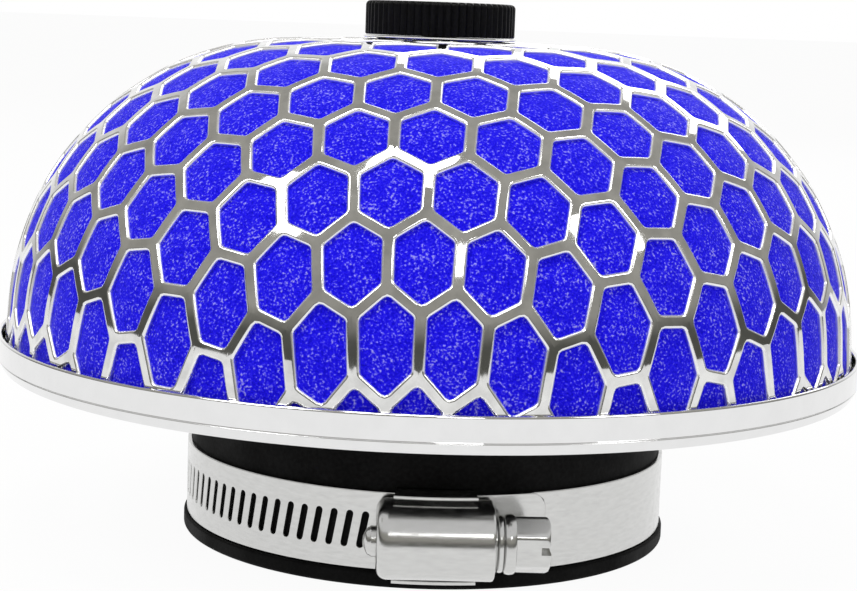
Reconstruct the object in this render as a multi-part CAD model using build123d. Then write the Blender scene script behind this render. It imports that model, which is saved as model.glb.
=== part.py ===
from build123d import *
import math
import os

# Driving sizes of a mushroom air filter, in millimetres and degrees.
# The origin is the middle of the neck's lower end, +Z is up and the clamp's screw faces -Y.

# Base plate
rim_diameter = 150.0
rim_height = 5.8
rim_turn_height = 1.7
rim_turn_depth = 0.9
plate_sheet = 0.8
plate_height = 29.0

# Dome of the cage
cage_fit = 0.2
skirt_height = 10.6
skirt_lean = 4.6
shoulder_radius = 49.3
crown_radius = 600.0
cage_wall = 1.8
foot_ring_height = 4.2
crown_boss_radius = 11.0

# Honeycomb of the cage
cell_pitch = 12.08
strut_width = 2.0
focus_depth = 194.0
pattern_turn = -1.98
pattern_shift_x = 1.6
pattern_shift_y = 1.5
smallest_window = 2.5

# Foam element and the basket under it
foam_thickness = 11.0
soft_gap = 0.3
core_bend_angle = 42.0
basket_wall = 1.6
basket_ribs = 6
basket_rib_width = 4.0
basket_ring_height = 5.0
basket_hub_radius = 12.0

# Rubber neck
pipe_bore = 76.0
neck_wall = 3.5
neck_fit = 0.1
lip_height = 2.6
lip_width = 1.2
flange_width = 3.0
flange_thickness = 2.0

# Stud, spider and knob
stud_diameter = 6.0
stud_hole_gap = 0.3
stud_running_gap = 0.05
stud_spare_length = 2.0
nut_across_flats = 10.0
nut_height = 5.0
spider_sheet = 1.5
spider_arms = 3
spider_arm_width = 10.0
spider_hub_radius = 10.0
pipe_end_gap = 1.0
spider_shoulder_lift = 3.0
spider_step = 3.0
spider_foot_length = 10.0
rivet_diameter = 4.0
rivet_head_diameter = 7.0
rivet_head_height = 1.2
washer_diameter = 26.6
washer_thickness = 0.4
knob_diameter = 26.0
knob_height = 5.8
knob_gap = 0.1
knob_ribs = 60
knob_rib_depth = 0.4
knob_edge = 0.8
insert_diameter = 10.0
insert_height = 4.0
press_gap = 0.05

# Worm drive clamp
band_width = 12.7
band_sheet = 0.6
band_gap = 0.1
clamp_turn = 2.5
slot_count = 30
slot_margin = 0.7
slot_pitch = 2.6
slot_width = 1.1
slot_height = 6.0
slot_tilt = 10.0
tail_length = 18.0
tail_corner = 2.5
worm_diameter = 8.4
worm_gap = 0.3
housing_length = 18.4
housing_wall = 1.4
housing_edge = 1.8
saddle_sheet = 0.6
saddle_length = 11.8
saddle_reach = 4.0
tip_diameter = 4.8
tip_length = 2.1
collar_diameter = 9.5
collar_length = 3.0
head_across_flats = 8.0
head_length = 5.4
head_edge = 0.6
driver_slot_width = 1.2
driver_slot_depth = 1.6

# Heights and radii that follow from them
rim_radius = rim_diameter / 2
floor_z = plate_height + plate_sheet
rim_top_z = plate_height + rim_height
foot_radius = rim_radius - plate_sheet - cage_fit
lean_slope = math.tan(math.radians(skirt_lean))
skirt_top_z = floor_z + skirt_height
skirt_top_radius = foot_radius - skirt_height * lean_slope
shoulder_centre = Vector(
    skirt_top_radius - shoulder_radius * math.cos(math.radians(skirt_lean)),
    skirt_top_z - shoulder_radius * math.sin(math.radians(skirt_lean)),
)
crown_join_angle = math.degrees(math.acos(shoulder_centre.X / (crown_radius - shoulder_radius)))
crown_centre = shoulder_centre - Vector(crown_radius - shoulder_radius, 0).rotate(Axis.Z, crown_join_angle)
crown_top_z = crown_centre.Y + crown_radius
crown_join_radius = crown_radius * math.cos(math.radians(crown_join_angle))
crown_join_z = crown_centre.Y + crown_radius * math.sin(math.radians(crown_join_angle))
focus_z = crown_top_z - focus_depth
foot_ring_top_z = floor_z + foot_ring_height
foam_inset = cage_wall + soft_gap
core_inset = foam_inset + foam_thickness
basket_inset = core_inset + soft_gap

bore_radius = pipe_bore / 2
neck_radius = bore_radius + neck_wall
lip_radius = neck_radius + lip_width
plate_hole_radius = neck_radius + neck_fit
flange_radius = plate_hole_radius + flange_width
flange_z = floor_z + neck_fit
neck_top_z = flange_z + flange_thickness

stud_radius = stud_diameter / 2
stud_hole_radius = stud_radius + stud_hole_gap
spider_hub_z = neck_top_z + pipe_end_gap + stud_spare_length + nut_height
spider_foot_radius = flange_radius + neck_fit + spider_step
rivet_circle_radius = spider_foot_radius + spider_foot_length / 2
rivet_hole_radius = rivet_diameter / 2 + press_gap
washer_z = crown_top_z
knob_z = washer_z + washer_thickness + knob_gap
insert_top_z = knob_z + insert_height

band_low_z = lip_height + band_gap
band_middle_z = band_low_z + band_width / 2
band_radius = neck_radius + band_gap
band_outer_radius = band_radius + band_sheet
tail_outer_radius = band_outer_radius + band_sheet
worm_radius = worm_diameter / 2
worm_bore_radius = worm_radius + worm_gap
housing_radius = worm_bore_radius + housing_wall
screw_axis_y = -(tail_outer_radius + worm_gap + worm_radius)
saddle_radius = band_radius - band_gap / 2 - saddle_sheet
saddle_angle = math.degrees(saddle_length / band_radius)

top_align = (Align.CENTER, Align.CENTER, Align.MIN)


def polar(centre, radius, angle):
    """Point at a radius and an angle from a centre, in the plane of a half section."""
    return centre + Vector(radius, 0).rotate(Axis.Z, angle)


def turned(section, angle=360.0):
    """Solid of a half section turned about the filter's axis, evenly each side of -Y if it isn't a full turn."""
    return Rot(0, 0, -90 - angle / 2) * revolve(Plane.XZ * section, Axis.Z, angle)


def ring(inner_radius, outer_radius, low_z, high_z, angle=360.0):
    """Plain ring, or a stretch of one, about the filter's axis."""
    corners = [(inner_radius, low_z), (outer_radius, low_z), (outer_radius, high_z), (inner_radius, high_z)]
    return turned(make_face(Polyline(*corners, close=True)), angle)


def disc(radius, low_z, high_z):
    """Plain round on the filter's axis."""
    return Pos(0, 0, low_z) * Cylinder(radius, high_z - low_z, align=top_align)


def skirt_radius(inset, z):
    """Radius of the dome's straight skirt at a height, moved in by inset."""
    return foot_radius - (z - floor_z) * lean_slope - inset / math.cos(math.radians(skirt_lean))


def dome_line(inset, low_z):
    """Half section of the dome moved in by inset: skirt, shoulder and crown, from low_z up to the axis."""
    shoulder = shoulder_radius - inset
    crown = crown_radius - inset
    start = polar(shoulder_centre, shoulder, skirt_lean)
    bend = polar(shoulder_centre, shoulder, (skirt_lean + crown_join_angle) / 2)
    join = polar(shoulder_centre, shoulder, crown_join_angle)
    arch = polar(crown_centre, crown, (crown_join_angle + 90) / 2)
    return [
        Line((skirt_radius(inset, low_z), low_z), start),
        ThreePointArc(start, bend, join),
        ThreePointArc(join, arch, polar(crown_centre, crown, 90)),
    ]


def core_line(inset, low_z):
    """Half section of the foam's core: straight runs between points of the dome moved in by inset, and a flat top."""
    shoulder = shoulder_radius - inset
    bends = [polar(shoulder_centre, shoulder, a) for a in (skirt_lean, core_bend_angle, crown_join_angle)]
    return Polyline((skirt_radius(inset, low_z), low_z), *bends, (0, bends[-1].Y))


def wall_between(outer, inner):
    """Wall turned from two half sections that run from their feet up to the axis."""
    ends = [Line(outer[0] @ 0, inner[0] @ 0), Line(outer[-1] @ 1, inner[-1] @ 1)]
    return turned(make_face(outer + ends + inner))


def ray_to_circle(flat_radius, centre, radius):
    """How far up its ray from the focus a point of the flat pattern meets a circle of the dome's section."""
    offset_z = focus_z - centre.Y
    a = flat_radius**2 + focus_depth**2
    b = focus_depth * offset_z - flat_radius * centre.X
    c = centre.X**2 + offset_z**2 - radius**2
    return (math.sqrt(b * b - a * c) - b) / a


def flat_radius_of(radius, height):
    """Radius in the flat pattern of a point of the dome's section, seen from the focus."""
    return radius * focus_depth / (height - focus_z)


def on_dome(flat_point):
    """Where a point of the flat pattern falls on the dome, seen from the focus, and the outward normal there."""
    flat_radius = math.hypot(flat_point.X, flat_point.Y)
    angle = math.degrees(math.atan2(flat_point.Y, flat_point.X))
    if flat_radius > flat_radius_of(skirt_top_radius, skirt_top_z):
        share = (foot_radius + (floor_z - focus_z) * lean_slope) / (flat_radius + focus_depth * lean_slope)
        normal = Vector(1, 0).rotate(Axis.Z, skirt_lean)
    else:
        on_crown = flat_radius <= flat_radius_of(crown_join_radius, crown_join_z)
        centre = crown_centre if on_crown else shoulder_centre
        share = ray_to_circle(flat_radius, centre, crown_radius if on_crown else shoulder_radius)
        normal = (Vector(share * flat_radius, focus_z + share * focus_depth) - centre).normalized()
    point = Vector(share * flat_radius, 0, focus_z + share * focus_depth).rotate(Axis.Z, angle)
    return point, Vector(normal.X, 0, normal.Y).rotate(Axis.Z, angle)


def pattern_cells():
    """Centres of the honeycomb's cells in the flat pattern, out past the foot ring."""
    row_pitch = cell_pitch * math.sqrt(3) / 2
    reach = flat_radius_of(foot_radius, floor_z) + cell_pitch
    rows = math.ceil(reach / row_pitch)
    columns = math.ceil(reach / cell_pitch)
    for row in range(-rows, rows + 1):
        for column in range(-columns, columns + 1):
            cell = Vector(cell_pitch * (column + row % 2 / 2), row_pitch * row)
            if cell.length < reach:
                yield cell.rotate(Axis.Z, pattern_turn) + Vector(pattern_shift_x, pattern_shift_y)


def window(cell):
    """Cutter for one window, square to the dome, or nothing where the boss or the foot ring covers the cell."""
    corner = Vector(0, cell_pitch / math.sqrt(3)).rotate(Axis.Z, pattern_turn)
    points = [on_dome(cell + corner.rotate(Axis.Z, 60 * k))[0] for k in range(6)]
    under_ring = max(p.Z for p in points) < foot_ring_top_z + smallest_window
    under_boss = max(math.hypot(p.X, p.Y) for p in points) < crown_boss_radius + smallest_window
    if under_ring or under_boss:
        return []
    middle, normal = on_dome(cell)
    plane = Plane(origin=middle, z_dir=normal)
    flat = [plane.to_local_coords(p) for p in points]
    outline = make_face(Polyline(*[(p.X, p.Y) for p in flat], close=True))
    opening = offset(outline, -strut_width / 2, kind=Kind.INTERSECTION)
    return [extrude(plane * opening, 2 * cage_wall, both=True)]


def make_cage():
    """Honeycomb dome with a closed ring at its foot and a flat boss at its crown."""
    wall = wall_between(dome_line(0, foot_ring_top_z), dome_line(cage_wall, foot_ring_top_z))
    honeycomb = wall - [cutter for cell in pattern_cells() for cutter in window(cell)]
    bevel_z = floor_z + rim_turn_height
    foot = [
        (skirt_radius(cage_wall, floor_z), floor_z),
        (foot_radius - rim_turn_depth, floor_z),
        (skirt_radius(0, bevel_z), bevel_z),
        (skirt_radius(0, foot_ring_top_z), foot_ring_top_z),
        (skirt_radius(cage_wall, foot_ring_top_z), foot_ring_top_z),
    ]
    foot_ring = turned(make_face(Polyline(*foot, close=True)))
    boss = disc(crown_boss_radius, crown_top_z - cage_wall, crown_top_z)
    return honeycomb + foot_ring + boss - disc(stud_hole_radius, floor_z, knob_z)


def make_foam():
    """Foam cap under the cage, hollowed by the basket's shape."""
    low_z = floor_z + soft_gap
    foam = wall_between(dome_line(foam_inset, low_z), core_line(core_inset, low_z).edges())
    return foam - disc(stud_hole_radius, floor_z, knob_z)


def make_basket():
    """Open frame that holds the foam's shape: rings at the foot and the bend, a hub, and ribs between them."""
    outer = core_line(basket_inset, floor_z)
    wall = wall_between(outer.edges(), core_line(basket_inset + basket_wall, floor_z).edges())
    bend_z = polar(shoulder_centre, shoulder_radius - basket_inset, core_bend_angle).Y
    keep = [
        disc(foot_radius, floor_z, floor_z + basket_ring_height),
        disc(foot_radius, bend_z - basket_ring_height / 2, bend_z + basket_ring_height / 2),
        disc(basket_hub_radius, floor_z, crown_top_z),
    ]
    rib = Box(foot_radius, basket_rib_width, crown_top_z, align=(Align.MIN, Align.CENTER, Align.MIN))
    ribs = [Rot(0, 0, k * 360 / basket_ribs) * rib for k in range(basket_ribs)]
    parts = [wall & piece for piece in keep + ribs]
    return parts[0] + parts[1:] - disc(stud_hole_radius, floor_z, knob_z)


def around(count, solid):
    """Copies of a solid spaced evenly about the filter's axis."""
    return [Rot(0, 0, k * 360 / count) * solid for k in range(count)]


def make_base_plate():
    """Pressed dish with an upright rim, turned in at its lower edge, and a hole for the neck."""
    line = Polyline(
        (plate_hole_radius, plate_height),
        (rim_radius - rim_turn_depth, plate_height),
        (rim_radius, plate_height + rim_turn_height),
        (rim_radius, rim_top_z),
    )
    dish = turned(make_face(offset(line, plate_sheet, side=Side.LEFT, kind=Kind.INTERSECTION)))
    hole = Pos(rivet_circle_radius, 0, plate_height) * Cylinder(rivet_hole_radius, 4 * plate_sheet)
    return dish - around(spider_arms, hole)


def make_spider():
    """Bent sheet bracket whose arms step over the neck's flange and carry the stud in the middle."""
    line = Polyline(
        (0, spider_hub_z),
        (spider_hub_radius, spider_hub_z),
        (flange_radius + neck_fit, neck_top_z + spider_shoulder_lift),
        (spider_foot_radius, floor_z),
        (spider_foot_radius + spider_foot_length, floor_z),
    )
    section = make_face(offset(line, spider_sheet, side=Side.LEFT, kind=Kind.INTERSECTION))
    arm = extrude(Plane.XZ * section, spider_arm_width / 2, both=True)
    arm -= Pos(rivet_circle_radius, 0, floor_z) * Cylinder(rivet_hole_radius, 4 * spider_sheet)
    hub = disc(spider_hub_radius, spider_hub_z, spider_hub_z + spider_sheet)
    return hub + around(spider_arms, arm) - disc(stud_hole_radius, floor_z, knob_z)


def make_rivets():
    """Rivets that hold the spider's feet to the base plate, one to each arm."""
    top_z = floor_z + spider_sheet
    half = [
        (0, plate_height - rivet_head_height),
        (rivet_diameter / 2, plate_height - rivet_head_height),
        (rivet_head_diameter / 2, plate_height),
        (rivet_diameter / 2, plate_height),
        (rivet_diameter / 2, top_z),
        (rivet_head_diameter / 2, top_z),
        (rivet_diameter / 2, top_z + rivet_head_height),
        (0, top_z + rivet_head_height),
    ]
    rivet = revolve(Plane.XZ * make_face(Polyline(*half, close=True)), Axis.Z)
    return around(spider_arms, Pos(rivet_circle_radius, 0, 0) * rivet)


def make_stud():
    """Stud from the spider up into the knob."""
    low_z = spider_hub_z - nut_height - stud_spare_length
    stud = disc(stud_radius, low_z, insert_top_z)
    return chamfer(stud.edges().filter_by(GeomType.CIRCLE), stud_radius / 4)


def make_nuts():
    """Two nuts that lock the stud to the spider, one each side of its hub."""
    hexagon = RegularPolygon(nut_across_flats / 2, 6, major_radius=False) - Circle(stud_radius + stud_running_gap)
    nut = extrude(hexagon, nut_height)
    return [Pos(0, 0, z) * nut for z in (spider_hub_z - nut_height, spider_hub_z + spider_sheet)]


def make_washer():
    """Flat washer between the cage and the knob."""
    return ring(stud_hole_radius, washer_diameter / 2, washer_z, washer_z + washer_thickness)


def make_insert():
    """Threaded bush moulded into the knob."""
    return ring(stud_radius + stud_running_gap, insert_diameter / 2, knob_z, insert_top_z)


def make_knob():
    """Ribbed round knob with a blind seat for its bush."""
    radius = knob_diameter / 2
    step = 360 / knob_ribs
    crest = [polar(Vector(0, 0), radius, k * step) for k in range(knob_ribs)]
    valley = [polar(Vector(0, 0), radius - knob_rib_depth, (k + 0.5) * step) for k in range(knob_ribs)]
    star = make_face(Polyline(*[p for pair in zip(crest, valley) for p in pair], close=True))
    blank = disc(radius, 0, knob_height)
    blank = chamfer(blank.edges().filter_by(GeomType.CIRCLE).sort_by(Axis.Z)[-1], knob_edge)
    seat = disc(insert_diameter / 2 + press_gap, 0, insert_height + knob_gap)
    return Pos(0, 0, knob_z) * ((extrude(star, knob_height) & blank) - seat)


def make_neck():
    """Rubber sleeve with an outer lip below the clamp, a flange inside the plate and a pocket for the saddle."""
    half = [
        (bore_radius, 0),
        (lip_radius, 0),
        (lip_radius, lip_height),
        (neck_radius, lip_height),
        (neck_radius, flange_z),
        (flange_radius, flange_z),
        (flange_radius, neck_top_z),
        (bore_radius, neck_top_z),
    ]
    sleeve = turned(make_face(Polyline(*half, close=True)))
    gap = band_gap + saddle_sheet + neck_fit
    pocket = ring(
        saddle_radius - neck_fit,
        lip_radius + lip_width,
        band_low_z - gap,
        band_low_z + band_width + gap,
        saddle_angle + 2 * math.degrees(neck_fit / neck_radius),
    )
    return sleeve - Rot(0, 0, clamp_turn) * pocket


def make_band():
    """Clamp band with a row of slots running away from the housing and a round-cornered tail past it."""
    high_z = band_low_z + band_width
    loop = ring(band_radius, band_outer_radius, band_low_z, high_z)
    doubled = ring(band_radius, tail_outer_radius, band_low_z, high_z)
    tail_plan = Plane.XZ * Pos(tail_length / 2, band_middle_z) * RectangleRounded(tail_length, band_width, tail_corner)
    tail = doubled & extrude(tail_plan, tail_outer_radius)
    slot = Pos(0, -band_radius, band_middle_z) * Rot(0, slot_tilt, 0) * Box(slot_width, neck_wall, slot_height)
    first = math.degrees(((housing_length + slot_pitch) / 2 + slot_margin) / band_radius)
    step = math.degrees(slot_pitch / band_radius)
    slots = [Rot(0, 0, -first - k * step) * slot for k in range(slot_count)]
    return Rot(0, 0, clamp_turn) * (loop + tail - slots)


def screw_plane(x):
    """Plane across the clamp's screw at a distance along it from the middle of the housing."""
    return Plane(origin=(x, screw_axis_y, band_middle_z), x_dir=(0, 0, 1), z_dir=(1, 0, 0))


def screw_round(radius, from_x, to_x):
    """Plain round on the axis of the clamp's screw."""
    return extrude(screw_plane(from_x) * Circle(radius), to_x - from_x)


def tunnel(radius, from_x, to_x):
    """Arched block over the worm, with straight sides down to the band."""
    depth = -screw_axis_y - band_radius
    arch = ThreePointArc((radius, 0), (0, radius), (-radius, 0))
    sides = Polyline((-radius, 0), (-radius, -depth), (radius, -depth), (radius, 0))
    return extrude(screw_plane(from_x) * make_face([arch, sides]), to_x - from_x)


def make_housing():
    """Pressed tunnel over the worm, open to the band and to the screw's head, with a rounded closed end."""
    half = housing_length / 2
    shell = tunnel(housing_radius, -half, half)
    closed_end = shell.faces().sort_by(Axis.X)[0]
    shell = fillet(closed_end.edges().sort_by(Axis.Y)[:-1], housing_edge)
    shell -= tunnel(worm_bore_radius, -half + housing_wall, half)
    shell -= screw_round(tip_diameter / 2 + worm_gap, -half, 0)
    seat = disc(tail_outer_radius + band_gap, 0, plate_height)
    return Rot(0, 0, clamp_turn) * (shell - seat)


def make_saddle():
    """Strip that passes under the band and folds round both its edges to grip the housing."""
    low_z = band_low_z - band_gap
    high_z = band_low_z + band_width + band_gap
    reach = tail_outer_radius + saddle_reach
    line = Polyline(
        (reach, low_z),
        (saddle_radius + saddle_sheet, low_z),
        (saddle_radius + saddle_sheet, high_z),
        (reach, high_z),
    )
    section = make_face(offset(line, saddle_sheet, side=Side.LEFT, kind=Kind.INTERSECTION))
    return Rot(0, 0, clamp_turn) * turned(section, saddle_angle)


def make_screw():
    """Worm with a plain tip, a collar against the housing and a slotted hexagon head."""
    half = housing_length / 2
    collar_x = half + worm_gap
    head_x = collar_x + collar_length
    screw = screw_round(worm_radius, -half + housing_wall + worm_gap, collar_x)
    screw += screw_round(tip_diameter / 2, -half - tip_length, 0)
    screw += screw_round(collar_diameter / 2, collar_x, head_x)
    hexagon = RegularPolygon(head_across_flats / 2, 6, major_radius=False)
    head = extrude(screw_plane(head_x) * hexagon, head_length)
    head = chamfer(head.faces().sort_by(Axis.X)[-1].edges(), head_edge)
    slot_x = head_x + head_length - driver_slot_depth / 2
    slot = Box(driver_slot_depth, driver_slot_width, 2 * head_across_flats)
    return Rot(0, 0, clamp_turn) * (screw + head - Pos(slot_x, screw_axis_y, band_middle_z) * slot)


nodes = {
    "cage": make_cage,
    "foam_element": make_foam,
    "support_basket": make_basket,
    "base_plate": make_base_plate,
    "spider": make_spider,
    "spider_rivets": make_rivets,
    "centre_stud": make_stud,
    "stud_nuts": make_nuts,
    "crown_washer": make_washer,
    "knob": make_knob,
    "knob_insert": make_insert,
    "neck_sleeve": make_neck,
    "clamp_band": make_band,
    "clamp_housing": make_housing,
    "clamp_saddle": make_saddle,
    "clamp_screw": make_screw,
}

os.makedirs("parts", exist_ok=True)
for name, make in nodes.items():
    solid = make()
    export_step(Compound(children=solid) if isinstance(solid, list) else solid, f"parts/{name}.step")
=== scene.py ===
import math

import bpy
import numpy as np
from mathutils import Matrix, Vector


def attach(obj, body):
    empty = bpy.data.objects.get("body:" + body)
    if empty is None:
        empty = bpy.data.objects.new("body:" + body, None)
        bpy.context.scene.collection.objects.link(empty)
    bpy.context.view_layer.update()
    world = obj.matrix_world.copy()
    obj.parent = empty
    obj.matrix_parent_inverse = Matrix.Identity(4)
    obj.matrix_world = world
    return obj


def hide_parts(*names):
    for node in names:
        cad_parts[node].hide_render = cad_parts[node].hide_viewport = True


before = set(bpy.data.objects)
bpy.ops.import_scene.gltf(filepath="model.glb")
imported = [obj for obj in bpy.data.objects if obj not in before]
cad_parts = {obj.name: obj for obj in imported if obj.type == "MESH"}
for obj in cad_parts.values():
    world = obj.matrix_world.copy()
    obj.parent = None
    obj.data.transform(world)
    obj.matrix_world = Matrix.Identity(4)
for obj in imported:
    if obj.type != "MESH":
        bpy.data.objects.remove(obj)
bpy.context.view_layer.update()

# Sizes of the solids that the pieces stand for, in millimetres and degrees
rim_radius = 75.0
plate_low_z = 29.0
plate_sheet = 0.8
rim_height = 5.8
rim_turn_height = 1.7
rim_turn_depth = 0.9

foot_radius = 74.0
skirt_lean = math.radians(4.6)
skirt_height = 10.6
shoulder_radius = 49.3
crown_radius = 600.0
cage_wall = 1.8
foot_ring_height = 4.2
crown_boss_radius = 11.0
stud_hole_radius = 3.3

cell_pitch = 12.08
strut_width = 2.0
focus_depth = 194.0
pattern_turn = math.radians(-1.98)
pattern_shift = np.array([1.6, 1.5])
smallest_window = 2.5

foam_inset = 2.1
foam_thickness = 11.0
soft_gap = 0.3

bore_radius = 38.0
neck_radius = 41.5
lip_radius = 42.7
lip_height = 2.6
flange_radius = 44.6
flange_thickness = 2.0
neck_fit = 0.1

knob_radius = 13.0
knob_height = 5.8
knob_ribs = 60
knob_rib_depth = 0.4
washer_radius = 13.3
washer_thickness = 0.4
knob_gap = 0.1
insert_seat_radius = 5.05
insert_seat_depth = 4.1

band_width = 12.7
band_sheet = 0.6
band_radius = 41.6
band_gap = 0.1
clamp_turn = math.radians(2.5)
slot_count = 30
slot_margin = 0.7
slot_pitch = 2.6
slot_width = 1.1
slot_height = 6.0
slot_tilt = math.radians(10.0)
tail_length = 18.0
tail_corner = 2.5
worm_radius = 4.2
worm_gap = 0.3
housing_length = 18.4
housing_wall = 1.4
housing_edge = 1.8
saddle_sheet = 0.6
saddle_length = 11.8
saddle_reach = 4.0
tip_radius = 2.4
tip_length = 2.1
collar_radius = 4.75
collar_length = 3.0
head_across_flats = 8.0
head_length = 5.4
driver_slot_width = 1.2
driver_slot_depth = 1.6

# Finer forms that only the looks need
strut_round = 0.5
window_corner = 0.7
foam_rise = 1.30
foam_pillow = 0.40
edge_round = 0.15

# Places that follow from them
floor_z = plate_low_z + plate_sheet
rim_top_z = plate_low_z + rim_height
foot_ring_top_z = floor_z + foot_ring_height
foam_low_z = floor_z + soft_gap
flange_z = floor_z + neck_fit
neck_top_z = flange_z + flange_thickness
band_low_z = lip_height + band_gap
skirt_top_z = floor_z + skirt_height
skirt_top_radius = foot_radius - skirt_height * math.tan(skirt_lean)
shoulder_r = skirt_top_radius - shoulder_radius * math.cos(skirt_lean)
shoulder_z = skirt_top_z - shoulder_radius * math.sin(skirt_lean)
crown_join = math.acos(shoulder_r / (crown_radius - shoulder_radius))
crown_z = shoulder_z - (crown_radius - shoulder_radius) * math.sin(crown_join)
crown_top_z = crown_z + crown_radius
focus_z = crown_top_z - focus_depth
knob_z = crown_top_z + washer_thickness + knob_gap
band_middle_z = band_low_z + band_width / 2
band_outer_radius = band_radius + band_sheet
tail_outer_radius = band_outer_radius + band_sheet
housing_radius = worm_radius + worm_gap + housing_wall
screw_distance = tail_outer_radius + worm_gap + worm_radius
saddle_radius = band_radius - band_gap / 2 - saddle_sheet
clamp_angle = -math.pi / 2 + clamp_turn

millimetre = 0.001
look = "_look"


# Materials

def new_material(slot):
    """Empty node material for a slot of the record: the material, its nodes, a link maker and the shader."""
    material = bpy.data.materials.new(slot + look)
    material.use_nodes = True
    tree = material.node_tree
    return material, tree.nodes, tree.links.new, tree.nodes["Principled BSDF"]


def noise(nodes, link, scale, detail=2.0, stretch=(1, 1, 1)):
    """Noise in object space, with features about 1/scale metres wide."""
    place = nodes.new("ShaderNodeTexCoord")
    mapping = nodes.new("ShaderNodeMapping")
    mapping.inputs["Scale"].default_value = stretch
    texture = nodes.new("ShaderNodeTexNoise")
    texture.inputs["Scale"].default_value = scale
    texture.inputs["Detail"].default_value = detail
    link(place.outputs["Object"], mapping.inputs["Vector"])
    link(mapping.outputs["Vector"], texture.inputs["Vector"])
    return texture.outputs["Fac"]


def ramp(nodes, link, value, *stops):
    """Colours or greys along a value, as (place, grey or colour) stops."""
    node = nodes.new("ShaderNodeValToRGB")
    marks = node.color_ramp.elements
    while len(marks) < len(stops):
        marks.new(0.5)
    for mark, (place, colour) in zip(marks, stops):
        mark.position = place
        grey = (colour,) * 3 if isinstance(colour, (int, float)) else colour
        mark.color = (*grey, 1)
    link(value, node.inputs["Fac"])
    return node.outputs["Color"]


def mixed(nodes, link, share, low, high):
    """Two colours mixed by a share; each is a socket or a plain colour."""
    mix = nodes.new("ShaderNodeMix")
    mix.data_type = "RGBA"
    link(share, mix.inputs["Factor"])
    for socket, colour in zip((mix.inputs[6], mix.inputs[7]), (low, high)):
        if isinstance(colour, tuple):
            socket.default_value = (*colour, 1)
        else:
            link(colour, socket)
    return mix.outputs[2]


def bump(nodes, link, shader, height, strength, distance):
    """Bump on a shader from a height, over a distance in millimetres."""
    node = nodes.new("ShaderNodeBump")
    node.inputs["Strength"].default_value = strength
    node.inputs["Distance"].default_value = distance * millimetre
    link(height, node.inputs["Height"])
    link(node.outputs["Normal"], shader.inputs["Normal"])


def chrome(name, tint, thin, ripple, low, high):
    """Bright plating, duller by a share where it is thin, with a ripple and changes of gloss, and rougher
    edges whose colour is raised to near white as a painted highlight.
    """
    material, nodes, link, shader = new_material(name)
    shader.inputs["Metallic"].default_value = 1.0
    edge = nodes.new("ShaderNodeAttribute")
    edge.attribute_name = "edge"
    colour = ramp(nodes, link, noise(nodes, link, 260, 4), (0.35, [c * thin for c in tint]), (0.65, tint))
    gloss = ramp(nodes, link, noise(nodes, link, 260, 3), (0.35, low), (0.7, high))
    # Along the rounded strut edges the colour goes to near white, a painted highlight, and the roughness
    # rises.
    link(mixed(nodes, link, edge.outputs["Fac"], colour, (0.97, 0.97, 0.97)), shader.inputs["Base Color"])
    link(mixed(nodes, link, edge.outputs["Fac"], gloss, (0.42, 0.42, 0.42)), shader.inputs["Roughness"])
    bump(nodes, link, shader, noise(nodes, link, 140, 1), ripple, 0.3)
    return material


def brushed(name, tint, low, high, stretch):
    """Rolled steel with fine lines along its length."""
    material, nodes, link, shader = new_material(name)
    shader.inputs["Metallic"].default_value = 1.0
    lines = noise(nodes, link, 500, 3, stretch)
    link(ramp(nodes, link, lines, (0.3, [c * 0.95 for c in tint]), (0.7, tint)), shader.inputs["Base Color"])
    link(ramp(nodes, link, lines, (0.3, high), (0.7, low)), shader.inputs["Roughness"])
    bump(nodes, link, shader, lines, 0.02, 0.05)
    return material


def matt(name, dark, pale, low, high, grain, depth):
    """Moulded black rubber or plastic with a fine grain."""
    material, nodes, link, shader = new_material(name)
    specks = noise(nodes, link, grain, 3)
    link(ramp(nodes, link, specks, (0.35, dark), (0.75, pale)), shader.inputs["Base Color"])
    link(ramp(nodes, link, noise(nodes, link, 120, 3), (0.3, low), (0.7, high)), shader.inputs["Roughness"])
    shader.inputs["Specular IOR Level"].default_value = 0.10
    bump(nodes, link, shader, specks, 0.5, depth)
    return material


def foam_material():
    """Open-cell foam: deep blue with pale cell walls, and a soft bloom at grazing angles."""
    material, nodes, link, shader = new_material("blue_foam")
    cells = noise(nodes, link, 2600, 3)
    broad = noise(nodes, link, 420, 2)
    blend = nodes.new("ShaderNodeMath")
    blend.operation = "MULTIPLY_ADD"
    blend.inputs[1].default_value = 0.25
    link(broad, blend.inputs[0])
    link(cells, blend.inputs[2])
    colour = ramp(
        nodes,
        link,
        blend.outputs["Value"],
        (0.42, (0.003, 0.001, 0.62)),
        (0.58, (0.007, 0.002, 0.84)),
        (0.70, (0.02, 0.012, 0.88)),
        (0.84, (0.34, 0.32, 0.95)),
    )
    link(colour, shader.inputs["Base Color"])
    shader.inputs["Roughness"].default_value = 0.95
    shader.inputs["Specular IOR Level"].default_value = 0.15
    shader.inputs["Sheen Weight"].default_value = 0.12
    shader.inputs["Sheen Roughness"].default_value = 0.45
    shader.inputs["Sheen Tint"].default_value = (0.70, 0.66, 1.0, 1)
    bump(nodes, link, shader, cells, 0.7, 0.35)
    return material


plated = chrome("plated_cage", (0.80, 0.80, 0.785), 0.78, 0.12, 0.03, 0.07)
plate_chrome = chrome("chrome_plate", (0.80, 0.80, 0.80), 0.97, 0.03, 0.03, 0.08)
clamp_steel = brushed("clamp_steel", (0.64, 0.64, 0.63), 0.16, 0.26, (1, 1, 4))
zinc = brushed("zinc_steel", (0.62, 0.62, 0.58), 0.30, 0.45, (1, 1, 1))
brass = brushed("brass", (0.74, 0.53, 0.24), 0.25, 0.40, (1, 1, 5))
rubber = matt("black_rubber", (0.001, 0.001, 0.001), (0.006, 0.006, 0.006), 0.55, 0.75, 1500, 0.08)
plastic = matt("black_plastic", (0.002, 0.002, 0.002), (0.007, 0.007, 0.007), 0.30, 0.45, 2200, 0.05)
foam_blue = foam_material()

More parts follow.
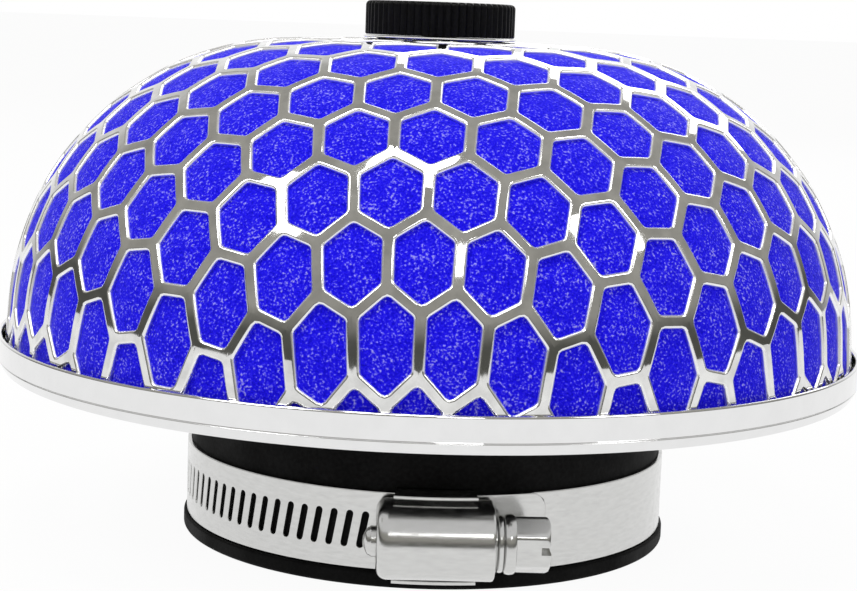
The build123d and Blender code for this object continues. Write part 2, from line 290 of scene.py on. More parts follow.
for node, material in {
    "support_basket": plastic,
    "spider": zinc,
    "spider_rivets": zinc,
    "centre_stud": zinc,
    "stud_nuts": zinc,
    "knob_insert": brass,
}.items():
    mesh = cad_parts[node].data
    mesh.materials.clear()
    mesh.materials.append(material)


# Mesh making

def piece(name, node, mesh_parts, material, normals=None, body="filter"):
    """Smooth mesh object from points in millimetres; it rides on a body and stands for a node."""
    points, faces = mesh_parts
    mesh = bpy.data.meshes.new(name)
    mesh.from_pydata((np.asarray(points) * millimetre).tolist(), [], faces)
    mesh.update()
    mesh.polygons.foreach_set("use_smooth", [True] * len(mesh.polygons))
    if normals is not None:
        mesh.normals_split_custom_set_from_vertices(np.asarray(normals).tolist())
    mesh.materials.append(material)
    made = bpy.data.objects.new(name, mesh)
    bpy.context.scene.collection.objects.link(made)
    if normals is None:
        soften(made)
    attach(made, body)
    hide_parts(node)
    return made


def soften(made, angle=40):
    """Keeps sharp edges sharp and flat faces flat on a smooth mesh."""
    made.data.set_sharp_from_angle(angle=math.radians(angle))
    weighted = made.modifiers.new("flat_faces", "WEIGHTED_NORMAL")
    weighted.keep_sharp = True


def joined(*parts):
    """Points and faces of several meshes as one."""
    points = np.vstack([p for p, f in parts])
    starts = np.cumsum([0] + [len(p) for p, f in parts])
    faces = [tuple(i + start for i in face) for (p, f), start in zip(parts, starts) for face in f]
    return points, faces


def rounded(corners, steps=4):
    """Outline through (x, y, round) corners, with an arc of that radius at each corner."""
    flat = np.array([c[:2] for c in corners], float)
    made = []
    for k, corner in enumerate(corners):
        before = flat[k - 1] - flat[k]
        after = flat[(k + 1) % len(flat)] - flat[k]
        before /= np.linalg.norm(before)
        after /= np.linalg.norm(after)
        half = math.acos(np.clip(before @ after, -1, 1)) / 2
        if corner[2] == 0 or half > math.radians(89):
            made.append(flat[k])
            continue
        centre = flat[k] + (before + after) / np.linalg.norm(before + after) * corner[2] / math.sin(half)
        from_way = flat[k] + before * corner[2] / math.tan(half) - centre
        to_way = flat[k] + after * corner[2] / math.tan(half) - centre
        for t in np.linspace(0, 1, steps + 1):
            way = from_way * (1 - t) + to_way * t
            made.append(centre + way / np.linalg.norm(way) * corner[2])
    return np.array(made)


def grid_faces(rows, columns, close_rows=False, close_columns=False):
    """Quads over rows of points, each row one after the other."""
    faces = []
    for i in range(rows if close_rows else rows - 1):
        for j in range(columns if close_columns else columns - 1):
            a, b = i, (i + 1) % rows
            c, d = j, (j + 1) % columns
            faces.append((a * columns + c, a * columns + d, b * columns + d, b * columns + c))
    return faces


def lathe(section, angles, closed=True, change=None):
    """Anticlockwise section of (radius, z) points swept through angles about Z; change moves the grid."""
    angle, radius = np.meshgrid(angles, section[:, 0], indexing="ij")
    height = np.broadcast_to(section[:, 1], radius.shape)
    if change is not None:
        radius, height = change(angle, radius, height)
    points = np.stack([radius * np.cos(angle), radius * np.sin(angle), height], -1).reshape(-1, 3)
    faces = grid_faces(len(angles), len(section), close_rows=closed, close_columns=True)
    if not closed:
        last = (len(angles) - 1) * len(section)
        faces.append(tuple(range(len(section) - 1, -1, -1)))
        faces.append(tuple(range(last, last + len(section))))
    return points, [face[::-1] for face in faces]


def full_turn(steps):
    """Angles of a full turn, without the closing one."""
    return np.arange(steps) * 2 * math.pi / steps


# Dome of the cage

def section_gap(radius, height):
    """How far points of the half section lie outside the dome's line, and the line's outward normal there."""
    angle = np.arctan2(height - shoulder_z, radius - shoulder_r)
    on_skirt = angle < skirt_lean
    on_crown = angle > crown_join
    centre_r = np.where(on_crown, 0, shoulder_r)
    centre_z = np.where(on_crown, crown_z, shoulder_z)
    reach = np.hypot(radius - centre_r, height - centre_z)
    gap = reach - np.where(on_crown, crown_radius, shoulder_radius)
    normal_r = (radius - centre_r) / reach
    normal_z = (height - centre_z) / reach
    skirt_gap = (radius - foot_radius) * math.cos(skirt_lean) + (height - floor_z) * math.sin(skirt_lean)
    return (
        np.where(on_skirt, skirt_gap, gap),
        np.where(on_skirt, math.cos(skirt_lean), normal_r),
        np.where(on_skirt, math.sin(skirt_lean), normal_z),
    )


def dome_gap(points):
    """How far points lie outside the dome, and the dome's outward normals there."""
    radius = np.maximum(np.hypot(points[..., 0], points[..., 1]), 1e-6)
    gap, normal_r, normal_z = section_gap(radius, points[..., 2])
    normal = np.stack([points[..., 0] / radius * normal_r, points[..., 1] / radius * normal_r, normal_z], -1)
    return gap, normal


def settled(points):
    """Points moved square on to the dome, and the normals there."""
    gap, normal = dome_gap(points)
    return points - gap[..., None] * normal, normal


def on_dome(flat):
    """Where points of the flat honeycomb pattern fall on the dome, seen from the focus."""
    ray = np.concatenate([flat, np.full(flat.shape[:-1] + (1,), focus_depth)], -1)
    focus = np.array([0, 0, focus_z])
    share = np.ones(flat.shape[:-1])
    for _ in range(12):
        gap, normal = dome_gap(focus + share[..., None] * ray)
        share = share - gap / (ray * normal).sum(-1)
    return focus + share[..., None] * ray


def turn_flat(points, angle):
    """Flat points turned about the origin."""
    turn = np.array([[math.cos(angle), math.sin(angle)], [-math.sin(angle), math.cos(angle)]])
    return points @ turn


def pattern_cells():
    """Centres of the honeycomb's cells in the flat pattern, out past the cage's foot."""
    row_pitch = cell_pitch * math.sqrt(3) / 2
    reach = foot_radius * focus_depth / (floor_z - focus_z) + cell_pitch
    rows = math.ceil(reach / row_pitch)
    columns = math.ceil(reach / cell_pitch)
    cells = [
        (cell_pitch * (column + row % 2 / 2), row_pitch * row)
        for row in range(-rows, rows + 1)
        for column in range(-columns, columns + 1)
    ]
    cells = np.array(cells)
    return turn_flat(cells[np.hypot(*cells.T) < reach], pattern_turn) + pattern_shift


def cell_corners(cells):
    """Six corners of each cell in the flat pattern."""
    ways = math.pi / 2 + np.arange(6) * math.pi / 3
    hexagon = np.column_stack([np.cos(ways), np.sin(ways)]) * cell_pitch / math.sqrt(3)
    return cells[:, None] + turn_flat(hexagon, pattern_turn)


def shown_cells():
    """Cells whose window shows between the foot ring and the boss."""
    cells = pattern_cells()
    corners = on_dome(cell_corners(cells))
    above_ring = corners[..., 2].max(1) > foot_ring_top_z
    past_boss = np.hypot(corners[..., 0], corners[..., 1]).max(1) > crown_boss_radius + smallest_window
    return cells[above_ring & past_boss]


def strut_rings(cells):
    """Rings of points round each window, from the struts' middle lines over their edges and down."""
    steps = np.array([0.25, 0.5, 0.75])
    flat = cell_corners(cells)
    following = np.roll(flat, -1, axis=1)
    middle, axis = settled(on_dome(cells))
    side = np.cross([0, 0, 1], axis)
    side /= np.linalg.norm(side, axis=-1, keepdims=True)
    rise = np.cross(axis, side)

    between = flat[:, :, None] + (following - flat)[:, :, None] * steps[:, None]
    line = np.concatenate([np.repeat(flat[:, :, None], 3, axis=2), between], axis=2)
    line = on_dome(line.reshape(len(cells), -1, 2))
    line_normal = dome_gap(line)[1]

    offset = on_dome(flat) - middle[:, None]
    corner = np.stack([(offset * side[:, None]).sum(-1), (offset * rise[:, None]).sum(-1)], -1)
    edge = np.roll(corner, -1, axis=1) - corner
    edge /= np.linalg.norm(edge, axis=-1, keepdims=True)
    inward = np.stack([-edge[..., 1], edge[..., 0]], -1)
    previous = np.roll(inward, 1, axis=1)
    reach = strut_width / 2 + window_corner
    bisector = (previous + inward) / (1 + (previous * inward).sum(-1, keepdims=True))
    centre = corner + bisector * reach
    next_centre = np.roll(centre, -1, axis=1)
    diagonal = (previous + inward) / np.linalg.norm(previous + inward, axis=-1, keepdims=True)

    root = np.concatenate(
        [
            np.repeat(centre[:, :, None], 3, axis=2),
            centre[:, :, None] + (next_centre - centre)[:, :, None] * steps[:, None],
        ],
        axis=2,
    )
    way = np.concatenate(
        [np.stack([previous, diagonal, inward], 2), np.repeat(inward[:, :, None], len(steps), axis=2)], axis=2
    )
    root = root.reshape(len(cells), -1, 2)
    way = way.reshape(len(cells), -1, 2)
    facing = way[..., :1] * side[:, None] + way[..., 1:] * rise[:, None]

    rings = [(line, line_normal)]
    for turn in np.radians([0, 45, 90]):
        inset = strut_width / 2 - strut_round * (1 - math.sin(turn))
        spot = root - way * (reach - inset)
        spot = middle[:, None] + spot[..., :1] * side[:, None] + spot[..., 1:] * rise[:, None]
        spot, normal = settled(spot)
        spot = spot - normal * strut_round * (1 - math.cos(turn))
        rings.append((spot, normal * math.cos(turn) + facing * math.sin(turn)))
    foot = rings[-1][0] - axis[:, None] * (cage_wall - strut_round)
    rings.append((foot, facing))
    rings.append((line - line_normal * cage_wall, -line_normal))
    return rings


def make_cage():
    """Honeycomb dome with rounded struts; the ring at its foot and the boss at its crown are made apart from
    it.
    """
    rings = strut_rings(shown_cells())
    points = np.stack([r[0] for r in rings], 1)
    normals = np.stack([r[1] for r in rings], 1)
    cells, levels, around = points.shape[:3]
    cell_faces = grid_faces(levels, around, close_columns=True)
    low_z = floor_z + plate_sheet
    lift = np.maximum(low_z - points[..., 2], 0)
    shrink = 1 - lift * math.tan(skirt_lean) / np.hypot(points[..., 0], points[..., 1])
    points[..., :2] *= shrink[..., None]
    points[..., 2] += lift
    honeycomb = points.reshape(-1, 3)
    faces = [
        tuple(i + cell * levels * around for i in face)
        for cell in range(cells)
        for face in cell_faces
    ]
    # The rings over the rounded strut edges, where the plating gets its painted white highlight.
    edges = np.zeros(points.shape[:3])
    edges[:, 2:4] = 1
    return honeycomb, faces, normals.reshape(-1, 3), edges.ravel()


def skirt_radius(inset, height):
    """Radius of the dome's skirt at a height, moved in by inset."""
    return foot_radius - (height - floor_z) * math.tan(skirt_lean) - inset / math.cos(skirt_lean)


honeycomb, honeycomb_faces, honeycomb_normals, honeycomb_edge_highlight = make_cage()
honeycomb_piece = piece("honeycomb", "cage", (honeycomb, honeycomb_faces), plated, honeycomb_normals)
# The edge share marks where the plating paints its white highlight along the struts.
edge_highlight_share = honeycomb_piece.data.attributes.new("edge", "FLOAT", "POINT")
edge_highlight_share.data.foreach_set("value", honeycomb_edge_highlight)

turn_z = floor_z + rim_turn_height
foot_section = [
    (skirt_radius(cage_wall, floor_z), floor_z, 0),
    (foot_radius - rim_turn_depth, floor_z, 0),
    (skirt_radius(0, turn_z), turn_z, 0),
    (skirt_radius(0, foot_ring_top_z), foot_ring_top_z, 0.3),
    (skirt_radius(cage_wall, foot_ring_top_z), foot_ring_top_z, 0.3),
]
boss_section = [
    (stud_hole_radius, crown_top_z - cage_wall, 0),
    (crown_boss_radius, crown_top_z - cage_wall, 0),
    (crown_boss_radius, crown_top_z, 0.2),
    (stud_hole_radius, crown_top_z, 0),
]
rings = joined(
    lathe(rounded(foot_section), full_turn(240)),
    lathe(rounded(boss_section), full_turn(72)),
)
piece("cage_rings", "cage", rings, plated)


# Foam under the cage

def dome_section(inset, low_z, steps):
    """Half section of the dome moved in by inset, from low_z up to the stud's hole, as even steps."""
    shoulder = shoulder_radius - inset
    crown = crown_radius - inset
    start_z = shoulder_z + shoulder * math.sin(skirt_lean)
    heights = np.linspace(low_z, start_z, steps // 5, endpoint=False)
    skirt = np.column_stack([skirt_radius(inset, heights), heights])
    bends = np.linspace(skirt_lean, crown_join, steps, endpoint=False)
    bend = np.column_stack([shoulder_r + shoulder * np.cos(bends), shoulder_z + shoulder * np.sin(bends)])
    arches = np.linspace(crown_join, math.acos(stud_hole_radius / crown), steps // 2)
    arch = np.column_stack([crown * np.cos(arches), crown_z + crown * np.sin(arches)])
    return np.vstack([skirt, bend, arch])


def window_share(points):
    """How far points lie into the window over them: 0 under a strut's middle, 1 well inside."""
    flat = points[:, :2] * (focus_depth / (points[:, 2] - focus_z))[:, None] - pattern_shift
    flat = turn_flat(flat, -pattern_turn)
    row_pitch = cell_pitch * math.sqrt(3) / 2
    nearest = np.full(len(flat), np.inf)
    share = np.zeros(len(flat))
    for odd in (0, 1):
        row = np.round((flat[:, 1] / row_pitch - odd) / 2) * 2 + odd
        column = np.round(flat[:, 0] / cell_pitch - odd / 2) + odd / 2
        local = flat - np.column_stack([column * cell_pitch, row * row_pitch])
        ways = np.arange(3) * math.pi / 3
        across = np.abs(local @ np.array([np.cos(ways), np.sin(ways)])).max(1)
        share = np.where(across < nearest, 1 - across / (cell_pitch / 2), share)
        nearest = np.minimum(nearest, across)
    inside = np.clip(share / 0.6, 0, 1)
    return inside * inside * (3 - 2 * inside)


def make_foam():
    """Foam cap pressed into the windows, a little rounder in each, hollow inside."""
    outer = dome_section(foam_inset, foam_low_z, 110)
    inner = dome_section(foam_inset + foam_thickness, foam_low_z, 30)
    steps = 400
    points, faces = lathe(np.vstack([outer, inner[::-1]]), full_turn(steps))
    rows = points.reshape(steps, -1, 3)
    shell = rows[:, : len(outer)].reshape(-1, 3)
    normal = dome_gap(shell)[1]
    swell = (foam_rise + foam_pillow * window_share(shell)) * np.clip((shell[:, 2] - foam_low_z) / 2, 0, 1)
    swell *= np.clip((np.hypot(shell[:, 0], shell[:, 1]) - crown_boss_radius) / 0.5, 0, 1)
    shell = shell + normal * swell[:, None]
    rows[:, : len(outer)] = shell.reshape(steps, -1, 3)
    return rows.reshape(-1, 3), faces


foam = piece("foam_cap", "foam_element", make_foam(), foam_blue)


# Base plate, washer and knob

plate_section = [
    (neck_radius + band_gap, plate_low_z, 0.2),
    (rim_radius - rim_turn_depth, plate_low_z, 0.6),
    (rim_radius - 0.05, plate_low_z + rim_turn_height, 0.1),
    (rim_radius - 0.25, plate_low_z + rim_turn_height + 0.12, 0.05),
    (rim_radius, plate_low_z + rim_turn_height + 0.3, 0.1),
    (rim_radius, rim_top_z, 0.38),
    (rim_radius - plate_sheet, rim_top_z, 0.38),
    (rim_radius - plate_sheet, plate_low_z + rim_turn_height + 0.3, 0.5),
    (rim_radius - rim_turn_depth - 0.4, floor_z, 0.5),
    (neck_radius + band_gap, floor_z, 0.2),
]
piece("plate_looks", "base_plate", lathe(rounded(plate_section), full_turn(360)), plate_chrome)

washer_section = [
    (stud_hole_radius, crown_top_z, 0.1),
    (washer_radius, crown_top_z, 0.3),
    (washer_radius, crown_top_z + washer_thickness, 0.3),
    (stud_hole_radius, crown_top_z + washer_thickness, 0.1),
]
piece("washer_looks", "crown_washer", lathe(rounded(washer_section), full_turn(120)), plate_chrome)


def knob_ribbing(angle, radius, height):
    """Fine upright ribs round the knob's side, fading out over its top edge."""
    wave = (0.5 - 0.5 * np.cos(angle * knob_ribs)) ** 1.5
    on_side = np.clip((radius - knob_radius + 1.2) / 0.8, 0, 1)
    return radius - knob_rib_depth * wave * on_side, height


knob_top_z = knob_z + knob_height
knob_section = [
    (0.01, knob_z + insert_seat_depth, 0),
    (insert_seat_radius, knob_z + insert_seat_depth, 0),
    (insert_seat_radius, knob_z, 0.2),
    (knob_radius, knob_z, 0.3),
    (knob_radius, knob_top_z, 0.8),
    (knob_radius - 2.2, knob_top_z, 0.3),
    (knob_radius - 2.6, knob_top_z - 0.25, 0.3),
    (0.01, knob_top_z - 0.15, 0),
]
knob_mesh = lathe(rounded(knob_section, 6), full_turn(knob_ribs * 8), change=knob_ribbing)
piece("knob_looks", "knob", knob_mesh, plastic, body="knob")


# Rubber neck

saddle_half_angle = saddle_length / band_radius / 2
pocket_gap_angle = 0.006


def saddle_pocket(angle, radius, height):
    """Shallow seat in the rubber where the clamp's saddle passes under the band."""
    turn = np.abs((angle - clamp_angle + math.pi) % (2 * math.pi) - math.pi)
    beside = turn < saddle_half_angle + pocket_gap_angle
    low = band_low_z - band_gap - saddle_sheet - band_gap
    high = band_low_z + band_width + band_gap + saddle_sheet + band_gap
    seat = beside & (height > low) & (height < high) & (radius > bore_radius + 1)
    return np.where(seat, np.minimum(radius, saddle_radius - band_gap), radius), height


pocket_edges = [
    clamp_angle + side * (saddle_half_angle + pocket_gap_angle + step)
    for side in (-1, 1)
    for step in (-1e-4, 1e-4)
]
neck_angles = np.sort(np.concatenate([full_turn(240), np.array(pocket_edges) % (2 * math.pi)]))
pocket_low_z = band_low_z - 2 * band_gap - saddle_sheet
pocket_high_z = band_low_z + band_width + 2 * band_gap + saddle_sheet
neck_section = [
    (bore_radius, 0, 0.8),
    (lip_radius, 0, 0.5),
    (lip_radius, pocket_low_z, 0),
    (lip_radius, pocket_low_z + 0.01, 0),
    (lip_radius, lip_height, 0.4),
    (neck_radius, lip_height, 0.2),
    (neck_radius, pocket_high_z - 0.01, 0),
    (neck_radius, pocket_high_z, 0),
    (neck_radius, flange_z, 0.2),
    (flange_radius, flange_z, 0.2),
    (flange_radius, neck_top_z, 0.3),
    (bore_radius, neck_top_z, 0.5),
]
neck_mesh = lathe(rounded(neck_section), neck_angles, change=saddle_pocket)
piece("neck_looks", "neck_sleeve", neck_mesh, rubber)


# Worm drive clamp

def on_band(length, height, radius):
    """Points at a length along the band from the middle of its screw, a height and a radius."""
    angle = clamp_angle + np.asarray(length) / band_outer_radius
    return np.stack([radius * np.cos(angle), radius * np.sin(angle), height + 0 * angle], -1)


def slot_outline(grow):
    """Round-ended slot, tilted, grown by an amount: up its right side, over, down and back."""
    half = slot_width / 2 + grow
    straight = (slot_height - slot_width) / 2
    sides = np.linspace(-straight, straight, 4)
    bends = np.linspace(0, math.pi, 7)[1:-1]
    right = np.column_stack([np.full(4, half), sides])
    over = np.column_stack([half * np.cos(bends), straight + half * np.sin(bends)])
    outline = np.vstack([right, over, -right, -over])
    return turn_flat(outline, -slot_tilt)


def cell_outline(half_width, half_height):
    """Rectangle round a slot, with as many points as the slot's outline."""
    sides = np.linspace(-half_height, half_height, 4)
    across = half_width * np.cos(np.linspace(0, math.pi, 7)[1:-1])
    right = np.column_stack([np.full(4, half_width), sides])
    over = np.column_stack([across, np.full(5, half_height)])
    return np.vstack([right, over, -right, -over])


def slot_cell(length, half_width):
    """Stretch of band face round one slot, with the slot's rounded edge and walls."""
    half_height = band_width / 2 - edge_round
    rings = [
        (cell_outline(half_width, half_height), 0),
        (slot_outline(edge_round), 0),
        (slot_outline(edge_round * 0.3), edge_round * 0.3),
        (slot_outline(0), edge_round),
        (slot_outline(0), band_sheet),
        (cell_outline(half_width, half_height), band_sheet),
    ]
    points = [on_band(length + o[:, 0], band_middle_z + o[:, 1], band_outer_radius - d) for o, d in rings]
    return np.vstack(points), grid_faces(len(rings), len(rings[0][0]), close_columns=True)


def strip_faces(lengths, half_heights, radius):
    """Plain stretch of band face between two lines of heights."""
    top = on_band(lengths, band_middle_z + half_heights, radius)
    low = on_band(lengths, band_middle_z - half_heights, radius)
    return np.vstack([low, top]), grid_faces(2, len(lengths))


def make_band():
    """Clamp band: rounded edges all the way round, a slotted stretch, a plain stretch and the tail."""
    half = band_width / 2
    edge = [
        (band_radius, -half, 0),
        (band_outer_radius, -half, edge_round),
        (band_outer_radius, half, edge_round),
        (band_radius, half, 0),
    ]
    section = np.array([(r, band_middle_z + z) for r, z in rounded(edge)])
    angles = clamp_angle + full_turn(300)
    points, faces = lathe(section, angles)
    outer = {i for i, (r, z) in enumerate(section) if r > band_outer_radius - 1e-6}
    per_ring = len(section)
    inner = {i for i, (r, z) in enumerate(section) if r < band_radius + 1e-6}
    places = [{i % per_ring for i in face} for face in faces]
    loop = (points, [face for face, place in zip(faces, places) if not (place <= outer or place <= inner)])
    step = slot_pitch * band_outer_radius / band_radius
    first = ((housing_length + slot_pitch) / 2 + slot_margin) * band_outer_radius / band_radius
    cells = [slot_cell(-first - k * step, step / 2) for k in range(slot_count)]
    slots_end = -first - (slot_count - 0.5) * step
    plain = np.linspace(-first + step / 2, slots_end + 2 * math.pi * band_outer_radius, 220)
    face = strip_faces(plain, np.full(len(plain), half - edge_round), band_outer_radius)
    return joined(loop, face, *cells, make_tail())


def make_tail():
    """Free end of the band over the loop, with round corners."""
    half = band_width / 2
    end = math.asin(tail_length / tail_outer_radius) * band_outer_radius
    bends = np.linspace(0, math.pi / 2, 9)
    straight = np.linspace(0, end - tail_corner, 16)[:-1]
    lengths = np.concatenate([straight, end - tail_corner + tail_corner * np.sin(bends)])
    drop = np.concatenate([np.zeros(len(straight)), tail_corner * (1 - np.cos(bends))])
    outline = np.vstack(
        [np.column_stack([lengths, half - drop]), np.column_stack([lengths, drop - half])[::-1]]
    )
    inner = outline * [1, 1 - edge_round / half] - [edge_round, 0]
    rings = [
        (inner, tail_outer_radius),
        (outline, tail_outer_radius - edge_round),
        (outline, band_outer_radius),
    ]
    points = [on_band(o[:, 0], band_middle_z + o[:, 1], r) for o, r in rings]
    walls = np.vstack(points), [f[::-1] for f in grid_faces(3, len(outline), close_columns=True)]
    count = len(lengths)
    cover = [(i, 2 * count - 1 - i, 2 * count - 2 - i, i + 1) for i in range(count - 1)]
    return joined(walls, (points[0], cover))


piece("band_looks", "clamp_band", make_band(), clamp_steel)


def at_screw(points):
    """Points from the screw's own frame (along it, out from the filter, up) to the filter's."""
    along, out, up = np.moveaxis(np.asarray(points, float), -1, 0)
    cosine = math.cos(clamp_turn)
    sine = math.sin(clamp_turn)
    y = -screw_distance - out
    return np.stack([along * cosine - y * sine, along * sine + y * cosine, band_middle_z + up], -1)


arch_points = 29


def arch(radius, depth):
    """Arched section over the worm: from the band up one side, round the front and back."""
    bends = np.linspace(math.pi / 2, -math.pi / 2, arch_points - 4)
    front = np.column_stack([radius * np.cos(bends), radius * np.sin(bends)])
    upper = [(-depth, radius), (-depth / 2, radius)]
    lower = [(-depth / 2, -radius), (-depth, -radius)]
    return np.vstack([upper, front, lower])


def make_housing():
    """Pressed tunnel over the worm: rounded closed end with a hole for the tip, open end with a soft edge."""
    half = housing_length / 2
    depth = screw_distance - tail_outer_radius - band_gap
    bends = np.linspace(0, math.pi / 2, 8)
    stations = [
        (-half + housing_edge * (1 - math.sin(b)), housing_edge * (1 - math.cos(b))) for b in bends[::-1]
    ]
    stations += [(half - 0.5, 0), (half - 0.2, 0.06), (half, 0.3), (half, 0.7), (half - 0.3, housing_wall)]
    stations += [(-half + housing_wall, housing_wall)]
    outlines = [
        np.column_stack([np.full(arch_points, x), arch(housing_radius - inset, depth)])
        for x, inset in stations
    ]
    ways = np.linspace(math.pi, -math.pi, arch_points)
    hole = (tip_radius + worm_gap) * np.column_stack([np.cos(ways), np.sin(ways)])
    hole_out = np.column_stack([np.full(arch_points, -half), hole])
    hole_in = np.column_stack([np.full(arch_points, -half + housing_wall), hole])
    rows = [hole_in, hole_out, *outlines, hole_in]
    return at_screw(np.vstack(rows)), grid_faces(len(rows), arch_points)


piece("housing_looks", "clamp_housing", make_housing(), clamp_steel)


def make_saddle():
    """Strip under the band whose folded ends grip the housing, with rounded folds and slanted ends."""
    low_z = band_low_z - band_gap
    high_z = band_low_z + band_width + band_gap
    reach = tail_outer_radius + saddle_reach
    inside = saddle_radius + saddle_sheet
    section = [
        (reach, low_z, 0.15),
        (inside, low_z, 0.2),
        (inside, high_z, 0.2),
        (reach, high_z, 0.15),
        (reach, high_z + saddle_sheet, 0.15),
        (saddle_radius, high_z + saddle_sheet, 0.6),
        (saddle_radius, low_z - saddle_sheet, 0.6),
        (reach, low_z - saddle_sheet, 0.15),
    ]
    angles = clamp_angle + np.linspace(-saddle_half_angle, saddle_half_angle, 25)
    return lathe(rounded(section), angles, closed=False)


piece("saddle_looks", "clamp_saddle", make_saddle(), clamp_steel)


def screw_lathe(section, steps, change=None):
    """Section of (along, radius) points turned about the screw's axis."""
    angle = full_turn(steps)
    along, around = np.meshgrid(section[:, 0], angle, indexing="ij")
    radius = np.broadcast_to(section[:, 1:], along.shape)
    if change is not None:
        radius = change(along, around, radius)
    points = np.stack([along, radius * np.cos(around), radius * np.sin(around)], -1)
    faces = grid_faces(len(section), steps, close_columns=True)
    return at_screw(points.reshape(-1, 3)), [face[::-1] for face in faces]


def make_screw():
    """Worm with a threaded barrel, a round tip, a collar of two ridges and a domed hexagon head."""
    half = housing_length / 2
    worm_start = -half + housing_wall + worm_gap
    collar_x = half + worm_gap
    head_x = collar_x + collar_length
    end_x = head_x + head_length

    def thread(along, around, radius):
        wave = np.abs(((along / slot_pitch - around / (2 * math.pi)) % 1) * 2 - 1)
        on_worm = (radius > worm_radius - 0.01) & (along < collar_x - 0.5)
        return np.where(on_worm, radius - 0.7 * np.clip(wave * 2 - 0.6, 0, 1), radius)

    tip = [
        (-half - tip_length, 0.01),
        (-half - tip_length + 0.05, 0.7),
        (-half - tip_length + 0.35, 1.35),
        (-half - tip_length + 0.5, 1.7),
        (-half - tip_length + 0.8, 2.1),
        (-half - tip_length + 1.1, 2.2),
        (-half - tip_length + 1.3, tip_radius),
        (worm_start, tip_radius),
        (worm_start, tip_radius + 0.6),
    ]
    barrel = [(x, worm_radius) for x in np.linspace(worm_start + 0.1, collar_x - 0.6, 70)]
    ridge = collar_length / 2
    collar = [(collar_x - 0.3, worm_radius - 0.6), (collar_x, worm_radius - 0.6)]
    for start, length, radius in (
        (collar_x, ridge * 0.75, collar_radius - 0.25),
        (collar_x + ridge * 0.75, ridge * 1.25, collar_radius),
    ):
        bends = np.linspace(0, math.pi, 11)
        collar += [(start + length / 2 * (1 - math.cos(b)), radius - 0.45 * (1 - math.sin(b))) for b in bends]
    shank = screw_lathe(np.array(tip + barrel + collar + [(head_x, 3.2)]), 64, thread)

    corner_radius = head_across_flats / 2 / math.cos(math.pi / 6)

    def hexagon(along, around, radius):
        flat = head_across_flats / 2 / np.cos((around + math.pi / 6) % (math.pi / 3) - math.pi / 6)
        return np.minimum(np.minimum(flat, corner_radius - 0.18), radius)

    bends = np.linspace(0, math.pi / 2, 9)
    dome = [(end_x - 1.3 + 1.3 * math.sin(b), corner_radius - 1.2 * (1 - math.cos(b))) for b in bends]
    head_section = [(head_x - 0.1, corner_radius)] + dome + [(end_x, corner_radius - 1.6)]
    steps = 96
    points, faces = screw_lathe(np.array(head_section), steps, hexagon)
    last = len(points) - steps
    caps = [tuple(range(steps)), tuple(range(len(points) - 1, last - 1, -1))]
    return joined(shank, (points, faces + caps))


def cut_driver_slot(mesh_parts):
    """Screw with a driver slot cut across the end of its head."""
    end_x = housing_length / 2 + worm_gap + collar_length + head_length
    halves = (driver_slot_depth, head_across_flats, driver_slot_width / 2)
    signs = np.array([(a, b, c) for a in (-1, 1) for b in (-1, 1) for c in (-1, 1)])
    box_faces = [(2, 3, 1, 0), (5, 7, 6, 4), (1, 5, 4, 0), (6, 7, 3, 2), (4, 6, 2, 0), (3, 7, 5, 1)]
    made = []
    for name, (points, faces) in (
        ("whole_screw", mesh_parts),
        ("slot_cutter", (at_screw(signs * halves + [end_x, 0, 0]), box_faces)),
    ):
        mesh = bpy.data.meshes.new(name)
        mesh.from_pydata(np.asarray(points).tolist(), [], faces)
        made.append(bpy.data.objects.new(name, mesh))
        bpy.context.scene.collection.objects.link(made[-1])
    whole, cutter = made
    cut = whole.modifiers.new("slot", "BOOLEAN")
    cut.operation = "DIFFERENCE"
    cut.object = cutter
    result = whole.evaluated_get(bpy.context.evaluated_depsgraph_get()).data
    slotted = np.array([v.co for v in result.vertices]), [tuple(p.vertices) for p in result.polygons]
    for used in made:
        bpy.data.meshes.remove(used.data)
    return slotted


piece("screw_looks", "clamp_screw", cut_driver_slot(make_screw()), clamp_steel, body="clamp_screw")


# Floor, light and world

floor_mesh = bpy.data.meshes.new("floor")
floor_mesh.from_pydata([(-40, -40, 0), (40, -40, 0), (40, 40, 0), (-40, 40, 0)], [], [(0, 1, 2, 3)])
floor = bpy.data.objects.new("floor", floor_mesh)
bpy.context.scene.collection.objects.link(floor)


def light_path_share(nodes, link):
    """1 for rays from the camera, in reflections and through glass, and 0 for those that only give light."""
    path = nodes.new("ShaderNodeLightPath")
    seen = path.outputs["Is Camera Ray"]
    for name in ("Is Glossy Ray", "Is Transmission Ray"):
        most = nodes.new("ShaderNodeMath")
        most.operation = "MAXIMUM"
        link(seen, most.inputs[0])
        link(path.outputs[name], most.inputs[1])
        seen = most.outputs["Value"]
    return seen


def floor_material():
    """Pale floor that shows near white and keeps a soft shadow."""
    material, nodes, link, shader = new_material("floor")
    shader.inputs["Base Color"].default_value = (0.86, 0.86, 0.86, 1)
    shader.inputs["Roughness"].default_value = 0.9
    white = nodes.new("ShaderNodeEmission")
    share = nodes.new("ShaderNodeMath")
    share.operation = "MULTIPLY"
    share.inputs[1].default_value = 0.95
    mix = nodes.new("ShaderNodeMixShader")
    link(light_path_share(nodes, link), share.inputs[0])
    link(share.outputs["Value"], mix.inputs["Fac"])
    link(shader.outputs["BSDF"], mix.inputs[1])
    link(white.outputs["Emission"], mix.inputs[2])
    link(mix.outputs["Shader"], nodes["Material Output"].inputs["Surface"])
    return material


floor_mesh.materials.append(floor_material())


def softbox(name, place, target, width, height, radiance):
    """Area lamp of an even radiance at a place, facing a target."""
    data = bpy.data.lights.new(name, "AREA")
    data.shape = "RECTANGLE"
    data.size = width
    data.size_y = height
    data.energy = radiance * math.pi * width * height
    lamp = bpy.data.objects.new(name, data)
    lamp.location = place
    lamp.rotation_euler = (Vector(target) - Vector(place)).to_track_quat("-Z", "Y").to_euler()
    bpy.context.scene.collection.objects.link(lamp)
    return lamp


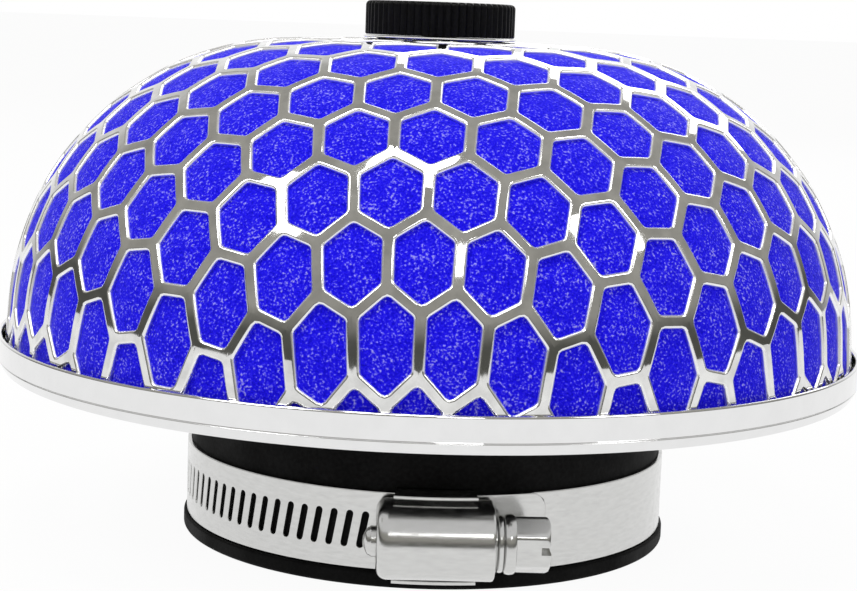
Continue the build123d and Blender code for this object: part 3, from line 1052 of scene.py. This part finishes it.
middle = (0, 0, 0.05)
softbox("overhead", (-0.10, -0.30, 1.15), middle, 0.32, 0.30, 9.0)
softbox("left", (-0.62, -0.42, 0.95), middle, 0.40, 0.40, 9.0)
softbox("right", (0.70, -0.45, 0.80), middle, 0.30, 0.30, 8.0)
softbox("front", (0.15, -0.90, 0.75), middle, 0.20, 0.20, 8.0)
softbox("back", (0.35, 0.95, 0.75), middle, 0.9, 0.5, 3.0)


def make_world():
    """Studio round the filter: pale behind, warm grey in front and overhead."""
    world = bpy.data.worlds.new("studio")
    bpy.context.scene.world = world
    world.use_nodes = True
    nodes = world.node_tree.nodes
    link = world.node_tree.links.new
    place = nodes.new("ShaderNodeTexCoord")
    parts = nodes.new("ShaderNodeSeparateXYZ")
    link(place.outputs["Generated"], parts.inputs["Vector"])
    front_share = nodes.new("ShaderNodeMapRange")
    front_share.inputs["From Min"].default_value = -1
    link(parts.outputs["Y"], front_share.inputs["Value"])
    low_grey = (0.10, 0.10, 0.09)
    mid_grey = (0.36, 0.35, 0.32)
    front = ramp(nodes, link, parts.outputs["Z"], (0.02, low_grey), (0.15, low_grey), (0.30, mid_grey))
    behind = ramp(nodes, link, front_share.outputs["Result"], (0.76, 0.0), (0.95, 1.0))
    around = mixed(nodes, link, behind, front, (1.0, 1.0, 1.0))
    overhead = ramp(nodes, link, parts.outputs["Z"], (0.45, 0.0), (0.80, 1.0))
    link(mixed(nodes, link, overhead, around, (0.40, 0.39, 0.36)), nodes["Background"].inputs["Color"])
    nodes["Background"].inputs["Strength"].default_value = 1.0


make_world()


# Camera at the photograph's viewpoint

photo_width = 857
focal_pixels = 1935.0
axis_pixels_right = 2.0
camera_distance = 0.340
camera_height = 0.08902
camera_pitch = math.radians(8.016)
camera_roll = math.radians(2.05)

camera_data = bpy.data.cameras.new("camera")
camera_data.sensor_width = 36.0
camera_data.lens = camera_data.sensor_width * focal_pixels / photo_width
camera_data.shift_x = -axis_pixels_right / photo_width
camera_data.clip_start = 0.01
camera = bpy.data.objects.new("camera", camera_data)
forward = Vector((0, math.cos(camera_pitch), -math.sin(camera_pitch)))
level = Vector((1, 0, 0))
upward = Vector((0, math.sin(camera_pitch), math.cos(camera_pitch)))
right = level * math.cos(camera_roll) + upward * math.sin(camera_roll)
above = upward * math.cos(camera_roll) - level * math.sin(camera_roll)
camera.matrix_world = Matrix.Translation((0, -camera_distance, camera_height)) @ Matrix(
    (right, above, -forward)
).transposed().to_4x4()
bpy.context.scene.collection.objects.link(camera)
bpy.context.scene.camera = camera

bpy.context.scene.view_settings.view_transform = "Standard"
